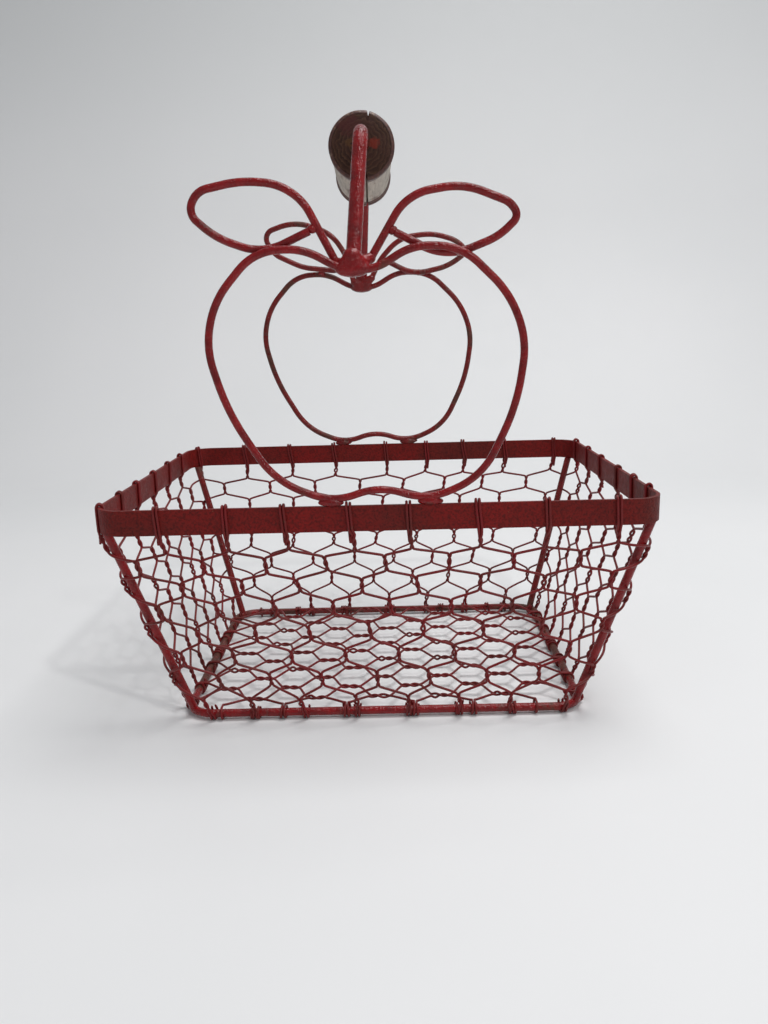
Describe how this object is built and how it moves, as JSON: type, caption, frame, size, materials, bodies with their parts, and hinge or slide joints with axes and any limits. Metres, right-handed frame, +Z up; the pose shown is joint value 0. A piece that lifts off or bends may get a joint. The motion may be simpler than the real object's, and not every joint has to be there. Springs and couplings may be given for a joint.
{
  "type": "wire egg basket",
  "caption": "Red wire egg basket with a flat rim band, hexagonal netting walls and floor, apple-shaped end loops with leaves, and a turning wooden grip on its carrying handle.",
  "frame": {"origin": "on the supporting surface, under the middle of the base ring", "axes": "+Z up through the handle, +X along the basket's long side to the right, +Y from the front to the back along the handle"},
  "size_m": [0.2564, 0.2022, 0.2824],
  "materials": {
    "band_paint": "satin deep red",
    "rod_paint": "gloss deep red",
    "netting_paint": "gloss dark red",
    "grip_wood": "worn varnish"
  },
  "bodies": {
    "basket": {"rim_band": "band_paint", "base_ring": "rod_paint", "front_left_post": "rod_paint", "front_right_post": "rod_paint", "back_left_post": "rod_paint", "back_right_post": "rod_paint", "front_apple": "rod_paint", "back_apple": "rod_paint", "front_left_leaf": "rod_paint", "front_right_leaf": "rod_paint", "back_left_leaf": "rod_paint", "back_right_leaf": "rod_paint", "handle_rod": "rod_paint", "front_rim_welds": "rod_paint", "back_rim_welds": "rod_paint", "front_stem_weld": "rod_paint", "back_stem_weld": "rod_paint", "leaf_welds": "rod_paint", "front_netting": "netting_paint", "right_netting": "netting_paint", "back_netting": "netting_paint", "left_netting": "netting_paint", "floor_netting": "netting_paint"},
    "grip": {"grip_left_piece": "grip_wood", "grip_right_piece": "grip_wood"}
  },
  "joints": [
    {"name": "grip_spin", "type": "hinge", "parent": "basket", "child": "grip", "pos_m": [-0.0045, 0, 0.2672], "axis": [-0.0234, 0.9997, 0.0062], "continuous": true}
  ]
}
